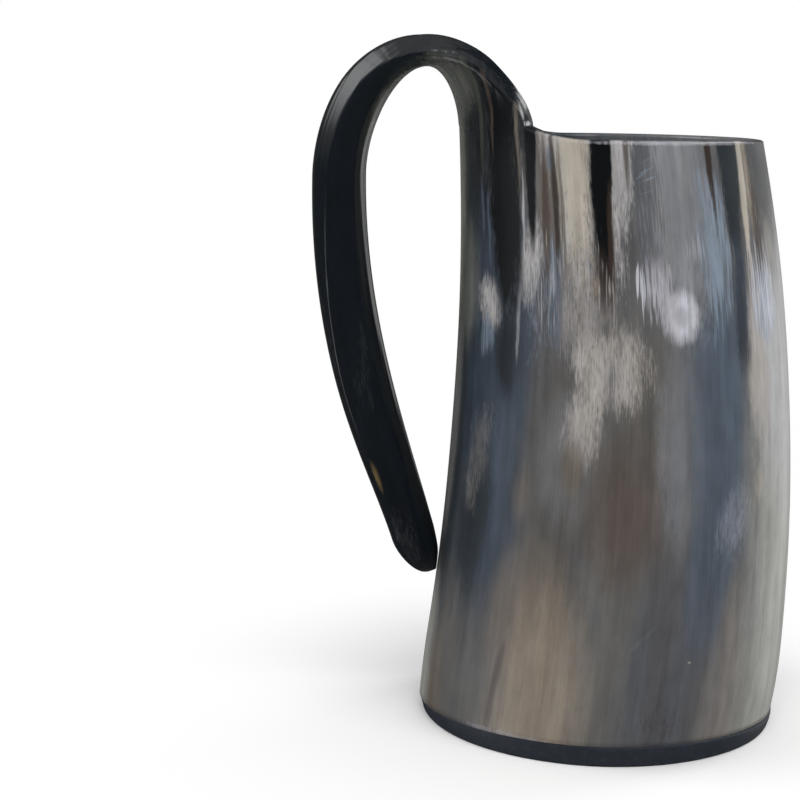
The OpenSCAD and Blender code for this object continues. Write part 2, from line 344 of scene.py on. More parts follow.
FRONT_STREAKS = (
    Streak("taupe below the rim", Pigment.TAN, 60.5, 5, 116, 190, 0.8, 0.6, 0.6),
    Streak("beige tail", Pigment.CREAM, 70.5, 6.4, 97, 119, 1.7, 1.4, 0.7),
    Streak("wide cream", Pigment.BONE, 69.9, 6.1, 115, 195, 0.75, 0.8, 1, 4),
    Streak("cream at the rim", Pigment.PEARL, 61.6, 4.6, 139.5, 172, 0.9, 0.9, 0.8),
    Streak("cream below the root", Pigment.PEARL, 53, 4.6, 110.5, 124.5, 1.7, 1.6, 1, 2, 0, 0.5),
    Streak("fibre tail", Pigment.LILAC, 47.2, 0.8, 95, 112, 1.1, 0.9, 0.35, 2, 0.04),
    Streak("taupe below the cream", Pigment.ASH, 57.6, 3, 99, 111, 1, 1, 0.8),
    Streak("torn blue", Pigment.STEEL, 62.2, 2.6, 98, 123, 0.9, 1.2, 0.8, fibrous=True),
    Streak("torn blue light", Pigment.MIST, 61.6, 1.5, 110, 122, 0.9, 1.4, 0.5, fibrous=True),
    Streak("left cream", Pigment.PEARL, 33, 5.2, 102, 111.5, 1.4, 1.5, 1, 2, 0, -0.2),
    Streak("left cream scuff", Pigment.MIST, 31, 3.4, 95, 103, 1.2, 1.6, 0.6, fibrous=True),
    Streak("cream right of the ink", Pigment.PEARL, 87, 4.2, 120, 176, 1.2, 1.2, 1, 2, 0.11),
    Streak("cream patch left", Pigment.CREAM, 75.2, 5.2, 84, 100.5, 1.7, 1.5, 1, 4),
    Streak("cream patch right", Pigment.CREAM, 84.4, 6.4, 86, 100.5, 1.8, 1.6, 0.95),
    Streak("cream patch foot", Pigment.CREAM, 71.4, 5, 73, 86.5, 1.7, 1.4, 0.95),
    Streak("cream patch tail", Pigment.TAN, 68.5, 3.5, 64, 76, 1, 0.6, 0.8),
    Streak("dark flecks", Pigment.ASH, 80.6, 0.9, 85, 96, 0.9, 1.6, 0.6, fibrous=True),
    # Pale fibres, partly painted highlight: they also stand in for the lamp's gloss spreading through the
    # scratched polish above the lamp spot.
    Streak("lilac fibres", Pigment.LILAC, 95.4, 4.2, 107, 118, 1.2, 2.2, 0.6, fibrous=True),
    Streak("lilac fibres apart", Pigment.LILAC, 90.6, 1.2, 109.5, 116.5, 0.9, 2, 0.6, fibrous=True),
    # Painted highlight: a round pale spot with a greyer core stands in for a lamp's reflection, with a thin
    # dark line at its edge.
    Streak("painted lamp spot", Pigment.LILAC, 103.8, 6, 100.4, 111.1, 1, 0.4, 1),
    Streak("painted lamp spot core", Pigment.STONE, 104.2, 2.6, 103.4, 108, 1, 0.4, 0.45),
    Streak("dark line by the lamp spot", Pigment.ASH, 107.2, 0.7, 97, 114, 0.8, 0.3, 0.3),
    Streak("small lilac", Pigment.LILAC, 110.5, 2.5, 118.5, 123.5, 1, 2.4, 0.3, fibrous=True),
    Streak("right scuff", Pigment.LILAC, 123, 5.5, 51, 65, 1.6, 1.8, 0.2, 2, 0, 0.5, sparse=0.3),
    Streak("right beige spot", Pigment.BONE, 134.4, 2, 62, 70, 1, 0.8, 0.4),
    Streak("left scuff", Pigment.CREAM, 30, 5.5, 60, 80, 1.6, 1.8, 0.25, 2, 0.3, sparse=0.4),
    Streak("left scuff foot", Pigment.CREAM, 28, 3, 56, 66, 1.6, 1.8, 0.22, sparse=0.4),
    Streak("tan spot", Pigment.TAN, 52, 3.4, 57, 69, 1, 0.6, 0.4),
    Streak("root shade", Pigment.INK, 31, 11, 127, 260, 1, 0.6, 0.85, 4),
    Streak("root ink", Pigment.INK, 41, 7.4, 105, 250, 0.45, 0.5, 1, 6, -0.02),
    Streak("root blue fibre", Pigment.STEEL, 29, 0.8, 122, 135, 0.9, 1, 0.6, fibrous=True),
    Streak("rim dark", Pigment.SOOT, 52.4, 4.6, 138, 178, 0.5, 0.5, 0.9),
    Streak("second ink", Pigment.INK, 54, 2.1, 120, 200, 0.4, 0.3, 1, 4),
    # Painted highlight: a thin bluish-white line that stands in for a glint of gloss.
    Streak("painted highlight line", Pigment.LILAC, 50.2, 0.6, 120, 135, 0.9, 1.2, 0.6, fibrous=True),
    Streak("tan line", Pigment.TAN, 48.6, 0.6, 134, 166, 0.8, 0.5, 0.6),
    Streak("brown thread", Pigment.UMBER, 59.6, 1.2, 113, 147, 0.8, 0.8, 0.9, 2, 0.02),
    Streak("dark thread", Pigment.BARK, 63.2, 1.0, 116, 150, 0.7, 0.6, 0.85),
    Streak("brown fringe", Pigment.UMBER, 65.4, 0.7, 116, 144, 0.8, 0.6, 0.6),
    Streak("blue at the rim", Pigment.STEEL, 62, 1.2, 138, 143.5, 0.9, 0.6, 0.5),
    Streak("middle ink", Pigment.INK, 80.9, 3.9, 113, 222, 0.28, 0.35, 1, 4, 0.045),
    Streak("middle ink edge", Pigment.BARK, 81.2, 1.3, 109, 135, 0.7, 0.6, 0.9, 2, 0.06),
    Streak("middle ink tail", Pigment.BARK, 77.6, 2, 107, 121, 0.8, 0.8, 0.75),
    Streak("middle tan spot", Pigment.SAND, 75.4, 1.2, 110, 114.5, 0.9, 0.5, 0.7),
    Streak("brown at the rim", Pigment.UMBER, 88.8, 0.8, 136, 160, 0.7, 0.5, 0.8),
    Streak("dark fibres", Pigment.ASH, 95, 4.2, 120, 172, 1, 1.4, 0.85, fibrous=True),
    Streak("thin dark", Pigment.BARK, 120.5, 1.6, 127, 182, 0.5, 0.4, 0.95, 2, 0.02),
    Streak("right ink", Pigment.NIGHT, 130.2, 4.8, 118, 200, 0.4, 0.5, 1, 3, 0.055),
    Streak("ink shade", Pigment.SLATE, 128.6, 3.8, 92, 122, 0.9, 0.6, 0.9),
    Streak("ink shade deep", Pigment.NIGHT, 128.6, 2.3, 91, 114, 0.9, 0.6, 0.45),
    Streak("thin cream", Pigment.BONE, 136, 1.7, 115, 194, 0.7, 0.5, 1, 4, 0.02),
    Streak("thin tan", Pigment.SAND, 139.4, 1.7, 124, 192, 0.7, 0.6, 0.95, 4),
    Streak("far ink", Pigment.SOOT, 152, 12, 121, 196, 0.8, 0.6, 1),
    Streak("right brown", Pigment.BARK, 142, 3, 111, 137, 0.9, 0.7, 0.95),
    Streak("far beige", Pigment.BONE, 150, 3, 116, 127, 0.9, 0.9, 0.35),
    Streak("far mist", Pigment.MIST, 142, 7, 100, 115, 1, 1.4, 0.75, fibrous=True),
    Streak("far scuff", Pigment.LILAC, 144, 5, 104, 113, 1, 2.4, 0.3, fibrous=True),
    Streak("pale flecks", Pigment.PEARL, 68, 12, 96, 124, 1, 2.4, 0.6, fibrous=True, sparse=1.4),
    Streak("brown flecks", Pigment.UMBER, 68, 12, 98, 122, 0.8, 2.6, 0.6, sparse=1.2),
    Streak("blue flecks", Pigment.MIST, 58, 9, 94, 122, 1, 2.6, 0.35, sparse=1.5),
    Streak("right flecks", Pigment.LILAC, 141, 9, 98, 124, 1, 2.4, 0.5, fibrous=True, sparse=1),
    Streak("plum thread", Pigment.PLUM, 50.2, 1.3, 4, 27.5, 1.2, 0.3, 0.6, 6, 0.13),
    Streak("scratch one", Pigment.MIST, 95.6, 2.6, 138.4, 138.8, 0.9, 0.9, 0.4, 2, 0, 0.3),
    Streak("scratch two", Pigment.MIST, 96.4, 2.2, 136.6, 137.0, 0.9, 0.9, 0.45, 2, 0, 0.26),
    Streak("scratch three", Pigment.MIST, 93.4, 1.6, 137.2, 137.6, 0.9, 0.9, 0.4, 2, 0, 0.36),
    Streak("scratch four", Pigment.MIST, 94.6, 1.8, 133.6, 133.9, 0.9, 0.9, 0.3, 2, 0, 0.2),
    Streak("scratch five", Pigment.MIST, 97, 2.4, 141.0, 141.3, 0.9, 0.9, 0.25, 2, 0, 0.3),
    Streak("low scratch", Pigment.STONE, 94.5, 4, 30.3, 31.9, 1, 0.9, 0.13, 2, 0, 0.8),
    Streak("low speck", Pigment.BONE, 110, 0.5, 24.7, 25.3, 0.9, 0.2, 0.5),
    Streak("foot pits", Pigment.BARK, 101, 9, 3, 15, 0.4, 3, 0.34, sparse=1.4),
)

BACK_STREAKS = (
    Streak("back slate", Pigment.SLATE, -52, 20, 34, 140, 0.8, 0.4, 0.9, 4),
    Streak("back steel band", Pigment.STEEL, -60, 6, 50, 112, 0.9, 0.6, 0.6, 2, -0.05),
    Streak("back taupe", Pigment.DOVE, -92, 18, 36, 100, 0.9, 0.4, 0.8),
    Streak("back tan", Pigment.SAND, -104, 26, -40, 44, 0.8, 0.3, 0.9, 2, -0.05),
    Streak("back low ash", Pigment.ASH, -62, 15, -24, 46, 0.9, 0.3, 0.8),
    Streak("back stone", Pigment.STONE, -122, 16, 80, 210, 0.7, 0.4, 0.9, 4),
    Streak("back cocoa", Pigment.COCOA, -133, 12, 40, 92, 0.9, 0.4, 0.7),
    Streak("back mist", Pigment.MIST, -136, 6, 98, 140, 0.9, 0.9, 0.7),
    Streak("back cream", Pigment.BONE, -84, 6.6, 110, 196, 0.6, 0.8, 1, 4),
    Streak("back cream beside", Pigment.CREAM, -99, 5, 112, 180, 0.5, 0.9, 1, 2, -0.08),
    Streak("back beige tail", Pigment.CREAM, -88, 7.5, 92, 121, 1.2, 1.3, 0.7),
    Streak("back cream patch", Pigment.CREAM, -104, 6.4, 78, 98, 1.3, 1.4, 1, 4),
    Streak("back cream patch foot", Pigment.CREAM, -97, 5.2, 68, 84, 1.3, 1.3, 0.9),
    Streak("back cream spot", Pigment.PEARL, -60, 5.4, 99, 111, 1.3, 1.3, 0.95),
    Streak("back lilac", Pigment.LILAC, -116, 4.5, 104, 117, 1.2, 2, 0.8, fibrous=True),
    Streak("back root shade", Pigment.SOOT, -28, 8, 112, 240, 0.8, 0.5, 0.9, 4),
    Streak("back root ink", Pigment.INK, -42, 8, 104, 250, 0.5, 0.6, 1, 6, 0.02),
    Streak("back ink one", Pigment.INK, -72, 4.4, 108, 222, 0.28, 0.3, 1, 4, -0.03),
    Streak("back ink two", Pigment.SOOT, -110, 2.6, 118, 200, 0.35, 0.4, 1, 3),
    Streak("back ink three", Pigment.INK, -143, 5, 112, 210, 0.4, 0.4, 1, 3, -0.02),
    Streak("back brown thread", Pigment.BARK, -91, 1.0, 113, 148, 0.7, 0.6, 0.85),
    Streak("back brown edge", Pigment.UMBER, -78, 1.2, 112, 150, 0.7, 0.6, 0.8),
    Streak("back thin tan", Pigment.TAN, -130, 1.6, 122, 190, 0.6, 0.5, 0.9, 4),
    Streak("back far ink", Pigment.SOOT, 194, 3, 124, 200, 0.4, 0.5, 0.95, 3),
    Streak("back thin cream", Pigment.BONE, 187, 1.6, 116, 190, 0.6, 0.4, 0.9, 4),
)

HANDLE_STREAKS = (
    Streak("handle ink", Pigment.COAL, 0, 300, 158, 460, 0.12, 0.2, 1, 4),
    Streak("strip olive", Pigment.OLIVE, -2, 17, 96, 205, 1, 0.4, 0.85, 4),
    # Painted reflection: the pale band down the strip's left edge stands in for the white surround glancing
    # off it.
    Streak("strip edge painted reflection", Pigment.PALE, 0, 11, 104, 190, 1, 0.5, 0.85, 4),
    Streak("bend olive", Pigment.MOSS, 10, 18, 150, 165, 0.8, 0.6, 0.46),
    Streak("strip thread", Pigment.UMBER, 36.5, 0.9, 144, 190, 0.9, 0.8, 0.8, 4, fibrous=True),
    Streak("strip thread beside", Pigment.OLIVE, 30, 1.3, 136, 186, 0.9, 0.8, 0.7, 4, fibrous=True),
    Streak("strip blue thread", Pigment.STEEL, 33, 0.8, 116, 130, 0.9, 1, 0.7, fibrous=True),
    Streak("chipped edge", Pigment.LILAC, 55, 13, 4.7, 5.8, 1.2, 2, 0.32),
)

WEAR_STREAKS = (
    Streak("leg scuff", Pigment.STONE, 14.6, 1.6, 228, 254, 1, 2.4, 0.05, sparse=1),
    Streak("tip scuff", Pigment.STONE, 13.5, 3, 281, 296, 1, 2, 0.08, sparse=0.4),
    Streak("worn lip", Pigment.LILAC, 112, 36, 144.3, 145.2, 0.6, 1.4, 0.3),
)


@dataclass(frozen=True)
class HornFinish:
    """Polished cow horn: keratin fibres that lie along the horn, grey with slate, cream and black streaks.

    It gives the eye fine lines along the grain, torn patches of pigment, a few painted highlights,
    reflections and shade, and a soft, waxy gloss. Sizes are in millimetres and angles in degrees, and
    inside_starts and inside_full are shares of the wall's thickness.
    """

    reference_radius: float
    wall: float
    cup_roughness: float = 0.36
    polished_roughness: float = 0.13
    handle_from: float = 150.0
    polished_from: float = 156.0
    amber_place: tuple[float, float, float] = (8.4, 28.6, 272.0)
    amber_radius: float = 2.1
    amber_heart: float = 0.8
    amber_stretch: float = 4.0
    drift_degrees: float = 4.0
    seam: float = 205.0
    wrinkle_low: float = 148.0
    wrinkle_high: float = 184.0
    wrinkle_core: float = 4.0
    inside_cover: float = 0.93
    inside_shine: float = 0.7
    # Where the inside's painted reflection starts and where it is full, in millimetres across the cup
    inside_sheen_starts_at: float = 14.0
    inside_sheen_full_at: float = -30.0
    lip_fade: float = 14.0
    polish_fade: float = 16.0
    scuff_roughness: float = 0.1
    inside_starts: float = 0.05
    inside_full: float = 0.4
    cloud_swing: float = 0.15
    tide_swing: float = 0.2
    mottle_contrast: float = 0.55
    line_contrast: float = 0.36
    band_contrast: float = 0.7
    clump_fray: float = 1.6
    short_fray: float = 3.2
    long_fray: float = 4.0
    fibre_strength: float = 0.1
    fibre_relief: float = 0.12
    file_relief: float = 0.15
    wrinkle_relief: float = 0.1
    ior: float = 1.54

    def build(self) -> bpy.types.Material:
        """Makes the horn's material.

        Returns:
            The material, which reads the mesh's own grain attribute.
        """
        material, tree, output = new_material("polished_cow_horn")
        grain = add_node(tree, "ShaderNodeAttribute", attribute_name="grain").outputs["Vector"]
        parts = add_node(tree, "ShaderNodeSeparateXYZ", {0: grain}).outputs
        turn = add_node(tree, MATH, {0: parts[0], 1: parts[1]}, operation="ARCTAN2")
        degrees = add_node(tree, MATH, {0: turn.outputs[0]}, operation="DEGREES")
        angle = add_node(tree, MATH, {0: degrees.outputs[0], 1: self.seam, 2: self.seam - 360.0},
                         operation="WRAP").outputs[0]
        rise = add_node(tree, MATH, {0: parts[2], 1: 1 / MM}, operation="MULTIPLY").outputs[0]
        # Real fibres are too fine to show, so single ones are drawn 0.3 to 0.5 mm wide
        fine = self.pattern(tree, grain, across=0.4, along=12.0, detail=2.0, shift=3.1)
        torn = self.pattern(tree, grain, across=0.3, along=2.3, detail=3.0, shift=7.7)
        shared = self.shared_sockets(tree, grain, angle, rise, torn)
        patch = self.patch_group()
        colour = self.cloudy(tree, grain)
        for streak in GROUND_STREAKS + BACK_STREAKS + FRONT_STREAKS + HANDLE_STREAKS:
            colour = self.lay(tree, patch, streak, colour, shared)
        inside = self.inside_mask(tree, parts)
        above = add_node(tree, MAP_RANGE, {0: rise, 1: self.handle_from - self.lip_fade,
                                           2: self.handle_from})
        # The inner wall is dark flint, paling to frost towards the side away from the handle as a painted
        # reflection of the light on the far inner wall.
        far = add_node(tree, MAP_RANGE, {0: parts[1], 1: self.inside_sheen_starts_at * MM,
                                         2: self.inside_sheen_full_at * MM})
        cup = add_node(tree, MIX, {0: far.outputs[0], 6: linear(Pigment.FLINT.value),
                                   7: linear(Pigment.FROST.value)}, data_type="RGBA")
        deep = add_node(tree, MIX, {0: above.outputs[0], 6: cup.outputs[2],
                                    7: linear(Pigment.COAL.value)}, data_type="RGBA")
        covered = add_node(tree, MATH, {0: inside, 1: self.inside_cover}, operation="MULTIPLY")
        colour = add_node(tree, MIX, {0: covered.outputs[0], 6: colour, 7: deep.outputs[2]},
                          data_type="RGBA").outputs[2]
        for streak in WEAR_STREAKS:
            colour = self.lay(tree, patch, streak, colour, shared)
        colour = self.fibres(tree, grain, colour, fine)
        colour = self.amber(tree, grain, colour)
        beyond = add_node(tree, MAP_RANGE, {0: rise, 1: self.polished_from - self.polish_fade,
                                            2: self.polished_from})
        within = add_node(tree, MATH, {0: inside, 1: self.inside_shine}, operation="MULTIPLY")
        shine = add_node(tree, MATH, {0: beyond.outputs[0], 1: within.outputs[0]}, operation="MAXIMUM")
        rough = add_node(tree, MAP_RANGE, {0: shine.outputs[0], 3: self.cup_roughness,
                                           4: self.polished_roughness})
        scuffed = add_node(tree, MATH, {0: torn, 1: self.scuff_roughness, 2: rough.outputs[0]},
                           operation="MULTIPLY_ADD")
        shader = add_node(tree, "ShaderNodeBsdfPrincipled", {
            "Base Color": colour, "Roughness": scuffed.outputs[0], "IOR": self.ior,
            "Normal": self.relief(tree, grain, rise, fine)})
        tree.links.new(shader.outputs[0], output.inputs[0])
        return material

    @staticmethod
    def pattern(tree: bpy.types.NodeTree, grain: Any, across: float, along: float, detail: float,
                shift: float) -> Any:
        """Noise that is drawn out along the grain.

        Args:
            tree: The material's nodes.
            grain: The grain's coordinates.
            across: Width of one fibre in millimetres.
            along: Length of one fibre in millimetres.
            detail: How many finer layers it has.
            shift: Offset that keeps one pattern apart from the next.

        Returns:
            A value round 0, from about -0.3 to 0.3.
        """
        scale = (1 / (across * MM), 1 / (across * MM), 1 / (along * MM))
        drawn = add_node(tree, "ShaderNodeMapping", {"Vector": grain, "Scale": scale,
                                                     "Location": (shift, shift, shift)})
        noise = add_node(tree, NOISE, {"Vector": drawn.outputs[0], "Scale": 1.0, "Detail": detail})
        return add_node(tree, MATH, {0: noise.outputs[0], 1: 0.5}, operation="SUBTRACT").outputs[0]

    def cloudy(self, tree: bpy.types.NodeTree, grain: Any) -> Any:
        """The horn's own cloudy grey, under all the streaks.

        Args:
            tree: The material's nodes.
            grain: The grain's coordinates.

        Returns:
            The colour's socket.
        """
        cloud = self.pattern(tree, grain, across=11.0, along=40.0, detail=3.0, shift=1.9)
        lifted = add_node(tree, MAP_RANGE, {0: cloud, 1: -self.cloud_swing, 2: self.cloud_swing})
        return add_node(tree, MIX, {0: lifted.outputs[0], 6: linear(Pigment.ASH.value),
                                    7: linear(Pigment.DOVE.value)}, data_type="RGBA").outputs[2]

    def shared_sockets(self, tree: bpy.types.NodeTree, grain: Any, angle: Any, rise: Any, torn: Any) -> dict:
        """Makes what every streak reads: the place on the horn, and how short and long fibres fray there.

        Args:
            tree: The material's nodes.
            grain: The grain's coordinates.
            angle: Degrees round the horn.
            rise: Millimetres along the grain.
            torn: The pattern of torn fibres.

        Returns:
            The sockets by name: place, short and long.
        """
        clump = self.pattern(tree, grain, across=1.6, along=7.5, detail=2.0, shift=2.6)
        drift = self.pattern(tree, grain, across=7.0, along=26.0, detail=2.0, shift=5.3)
        strand = self.pattern(tree, grain, across=0.5, along=9.0, detail=1.5, shift=0.7)
        clumped = add_node(tree, MATH, {0: clump, 1: self.clump_fray}, operation="MULTIPLY")
        short = add_node(tree, MATH, {0: torn, 1: self.short_fray, 2: clumped.outputs[0]},
                         operation="MULTIPLY_ADD")
        long = add_node(tree, MATH, {0: strand, 1: self.long_fray}, operation="MULTIPLY")
        swung = add_node(tree, MATH, {0: drift, 1: self.drift_degrees, 2: angle}, operation="MULTIPLY_ADD")
        place = add_node(tree, "ShaderNodeCombineXYZ", {0: swung.outputs[0], 1: rise, 2: 1.0})
        return {"place": place.outputs[0], "short": short.outputs[0], "long": long.outputs[0]}

    @staticmethod
    def patch_group() -> bpy.types.NodeTree:
        """Makes the node group that lays one patch of colour, pigment or painted light, over a colour.

        Returns:
            The group, which measures a place across and along the patch as dot products.
        """
        group = bpy.data.node_groups.new("pigment_and_painted_light_patch", "ShaderNodeTree")
        sockets = {"Under": "Color", "Tint": "Color", "Place": "Vector", "Across": "Vector",
                   "Along": "Vector", "Blunt": "Float", "Fray": "Float", "Ragged": "Float",
                   "Out": "Float", "In": "Float", "Strength": "Float"}
        for name, kind in sockets.items():
            group.interface.new_socket(name, in_out="INPUT", socket_type=f"NodeSocket{kind}")
        group.interface.new_socket("Colour", in_out="OUTPUT", socket_type="NodeSocketColor")
        given = add_node(group, "NodeGroupInput").outputs
        aside = add_node(group, VECTOR_MATH, {0: given["Place"], 1: given["Across"]},
                         operation="DOT_PRODUCT").outputs["Value"]
        level = add_node(group, VECTOR_MATH, {0: given["Place"], 1: given["Along"]},
                         operation="DOT_PRODUCT").outputs["Value"]
        squared = add_node(group, MATH, {0: level, 1: level}, operation="MULTIPLY")
        end = add_node(group, MATH, {0: squared.outputs[0], 1: given["Blunt"]}, operation="POWER")
        edge = add_node(group, MATH, {0: aside, 1: aside, 2: end.outputs[0]}, operation="MULTIPLY_ADD")
        frayed = add_node(group, MATH, {0: given["Fray"], 1: given["Ragged"], 2: edge.outputs[0]},
                          operation="MULTIPLY_ADD")
        mask = add_node(group, MAP_RANGE, {0: frayed.outputs[0], 1: given["Out"], 2: given["In"],
                                           4: given["Strength"]}, interpolation_type="SMOOTHSTEP")
        laid = add_node(group, MIX, {0: mask.outputs[0], 6: given["Under"], 7: given["Tint"]},
                        data_type="RGBA")
        add_node(group, "NodeGroupOutput", {0: laid.outputs[2]})
        return group

    @staticmethod
    def lay(tree: bpy.types.NodeTree, group: bpy.types.NodeTree, streak: Streak, under: Any,
            shared: dict) -> Any:
        """Lays one streak over a colour.

        Args:
            tree: The material's nodes.
            group: The group that lays a patch.
            streak: The streak.
            under: The colour so far.
            shared: The sockets that every streak reads.

        Returns:
            The new colour's socket.
        """
        middle = (streak.low + streak.high) / 2
        reach = (streak.high - streak.low) / 2
        across = Vector((1, -streak.lean, streak.lean * middle - streak.centre)) / streak.half
        along = Vector((-streak.tilt, 1, streak.tilt * streak.centre - middle)) / reach
        values = {
            "Tint": linear(streak.pigment.value), "Across": across, "Along": along, "Blunt": streak.blunt / 2,
            "Ragged": streak.ragged,
            "Out": 1 + streak.soft - streak.sparse, "In": 1 - streak.soft - streak.sparse,
            "Strength": streak.strength}
        values.update(Under=under, Place=shared["place"], Fray=shared["long" if streak.fibrous else "short"])
        return add_node(tree, "ShaderNodeGroup", values, node_tree=group, label=streak.name).outputs[0]

    def inside_mask(self, tree: bpy.types.NodeTree, parts: Any) -> Any:
        """A share that is 0 outside the cup and 1 on the lip, the inside and the handle's cut faces.

        Args:
            tree: The material's nodes.
            parts: The grain's coordinates, apart.

        Returns:
            The share's socket.
        """
        flat = add_node(tree, "ShaderNodeCombineXYZ", {0: parts[0], 1: parts[1]})
        radius = add_node(tree, VECTOR_MATH, {0: flat.outputs[0]}, operation="LENGTH")
        outside = self.reference_radius
        return add_node(tree, MAP_RANGE, {
            0: radius.outputs["Value"], 1: (outside - self.inside_starts * self.wall) * MM,
            2: (outside - self.inside_full * self.wall) * MM}).outputs[0]

    def amber(self, tree: bpy.types.NodeTree, grain: Any, colour: Any) -> Any:
        """Adds the small amber spot near the tip, where light comes through thin horn.

        Args:
            tree: The material's nodes.
            grain: The grain's coordinates.
            colour: The colour so far.

        Returns:
            The new colour's socket.
        """
        squeeze = (1 / MM, 1 / MM, 1 / (self.amber_stretch * MM))
        drawn = add_node(tree, VECTOR_MATH, {0: grain, 1: squeeze}, operation="MULTIPLY")
        x, y, along = self.amber_place
        away = add_node(tree, VECTOR_MATH, {0: drawn.outputs[0], 1: (x, y, along / self.amber_stretch)},
                        operation="DISTANCE")
        share = add_node(tree, MAP_RANGE, {0: away.outputs["Value"], 1: self.amber_radius,
                                           2: self.amber_heart}, interpolation_type="SMOOTHSTEP")
        return add_node(tree, MIX, {0: share.outputs[0], 6: colour, 7: linear(Pigment.AMBER.value)},
                        data_type="RGBA").outputs[2]

    def fibres(self, tree: bpy.types.NodeTree, grain: Any, colour: Any, fine: Any) -> Any:
        """Varies the colour by single fibres and by bands that run warm and cool.

        Args:
            tree: The material's nodes.
            grain: The grain's coordinates.
            colour: The colour so far.
            fine: The pattern of single fibres.

        Returns:
            The new colour's socket.
        """
        band = self.pattern(tree, grain, across=2.8, along=45.0, detail=2.0, shift=4.4)
        tide = self.pattern(tree, grain, across=3.6, along=50.0, detail=2.0, shift=6.1)
        share = add_node(tree, MAP_RANGE, {0: tide, 1: -self.tide_swing, 2: self.tide_swing})
        cast = add_node(tree, MIX, {0: share.outputs[0], 6: COOL_CAST, 7: WARM_CAST}, data_type="RGBA")
        mottle = self.pattern(tree, grain, across=3.2, along=8.0, detail=4.0, shift=9.1)
        clouds = add_node(tree, MATH, {0: mottle, 1: self.mottle_contrast, 2: 1.0}, operation="MULTIPLY_ADD")
        lines = add_node(tree, MATH, {0: fine, 1: self.line_contrast, 2: clouds.outputs[0]},
                         operation="MULTIPLY_ADD")
        bands = add_node(tree, MATH, {0: band, 1: self.band_contrast, 2: lines.outputs[0]},
                         operation="MULTIPLY_ADD")
        toned = add_node(tree, VECTOR_MATH, {0: colour, 1: bands.outputs[0]}, operation="MULTIPLY")
        return add_node(tree, VECTOR_MATH, {0: toned.outputs[0], 1: cast.outputs[2]},
                        operation="MULTIPLY").outputs[0]

    def relief(self, tree: bpy.types.NodeTree, grain: Any, rise: Any, fine: Any) -> Any:
        """Fibre lines all over, file marks along the handle and cross wrinkles under the bend.

        Args:
            tree: The material's nodes.
            grain: The grain's coordinates.
            rise: Millimetres along the grain.
            fine: The pattern of single fibres.

        Returns:
            The normal's socket.
        """
        marks = self.pattern(tree, grain, across=1.1, along=70.0, detail=0.6, shift=8.2)
        folds = self.pattern(tree, grain, across=12.0, along=1.3, detail=0.6, shift=9.4)
        on_handle = add_node(tree, MAP_RANGE, {0: rise, 1: self.wrinkle_low, 2: self.polished_from})
        middle = (self.wrinkle_low + self.wrinkle_high) / 2
        away = add_node(tree, MATH, {0: rise, 1: middle}, operation="SUBTRACT")
        level = add_node(tree, MATH, {0: away.outputs[0]}, operation="ABSOLUTE")
        bent = add_node(tree, MAP_RANGE, {0: level.outputs[0], 1: self.wrinkle_high - middle,
                                          2: self.wrinkle_core}, interpolation_type="SMOOTHSTEP")
        lines = add_node(tree, BUMP, {"Strength": self.fibre_strength, "Distance": self.fibre_relief * MM,
                                      "Height": fine})
        filed = add_node(tree, BUMP, {"Strength": on_handle.outputs[0], "Distance": self.file_relief * MM,
                                      "Height": marks, "Normal": lines.outputs[0]})
        return add_node(tree, BUMP, {"Strength": bent.outputs[0], "Distance": self.wrinkle_relief * MM,
                                     "Height": folds, "Normal": filed.outputs[0]}).outputs[0]


@dataclass(frozen=True)
class BasePaint:
    """Brushed matt black paint on a turned wooden disc: a bluish black with faint brush rings and dust."""

    colour: str = "#242a34"
    dust: str = "#2f353d"
    ring: float = 0.5
    stroke: float = 12.0
    speck: float = 1.2
    dust_from: float = 0.5
    dust_full: float = 0.75
    relief_strength: float = 0.25
    relief: float = 0.2
    roughness: float = 0.55
    ior: float = 1.5

    def build(self) -> bpy.types.Material:
        """Makes the paint's material.

        Returns:
            The material.
        """
        material, tree, output = new_material("matt_black_paint_on_wood")
        place = add_node(tree, "ShaderNodeTexCoord").outputs["Object"]
        wide = 1 / (self.stroke * MM)
        drawn = add_node(tree, "ShaderNodeMapping", {"Vector": place,
                                                     "Scale": (wide, wide, 1 / (self.ring * MM))})
        brush = add_node(tree, NOISE, {"Vector": drawn.outputs[0], "Scale": 1.0, "Detail": 3.0})
        dust = add_node(tree, NOISE, {"Vector": place, "Scale": 1 / (self.speck * MM), "Detail": 4.0})
        share = add_node(tree, MAP_RANGE, {0: dust.outputs[0], 1: self.dust_from, 2: self.dust_full})
        colour = add_node(tree, MIX, {0: share.outputs[0], 6: linear(self.colour), 7: linear(self.dust)},
                          data_type="RGBA")
        bump = add_node(tree, BUMP, {"Strength": self.relief_strength, "Distance": self.relief * MM,
                                     "Height": brush.outputs[0]})
        shader = add_node(tree, "ShaderNodeBsdfPrincipled", {
            "Base Color": colour.outputs[2], "Roughness": self.roughness, "IOR": self.ior,
            "Normal": bump.outputs[0]})
        tree.links.new(shader.outputs[0], output.inputs[0])
        return material


@dataclass(frozen=True)
class GlueFinish:
    """Cured resin glue over the wood: glossy dark amber, clouded, with a skin that dips and pools."""

    deep: str = "#2b2118"
    thin: str = "#54432f"
    pool: float = 7.0
    skin_strength: float = 0.3
    skin: float = 0.4
    roughness: float = 0.18
    ior: float = 1.55

    def build(self) -> bpy.types.Material:
        """Makes the glue's material.

        Returns:
            The material.
        """
        material, tree, output = new_material("cured_resin_glue")
        place = add_node(tree, "ShaderNodeTexCoord").outputs["Object"]
        pool = add_node(tree, NOISE, {"Vector": place, "Scale": 1 / (self.pool * MM), "Detail": 3.0})
        colour = add_node(tree, MIX, {0: pool.outputs[0], 6: linear(self.deep), 7: linear(self.thin)},
                          data_type="RGBA")
        bump = add_node(tree, BUMP, {"Strength": self.skin_strength, "Distance": self.skin * MM,
                                     "Height": pool.outputs[0]})
        shader = add_node(tree, "ShaderNodeBsdfPrincipled", {
            "Base Color": colour.outputs[2], "Roughness": self.roughness, "IOR": self.ior,
            "Normal": bump.outputs[0]})
        tree.links.new(shader.outputs[0], output.inputs[0])
        return material


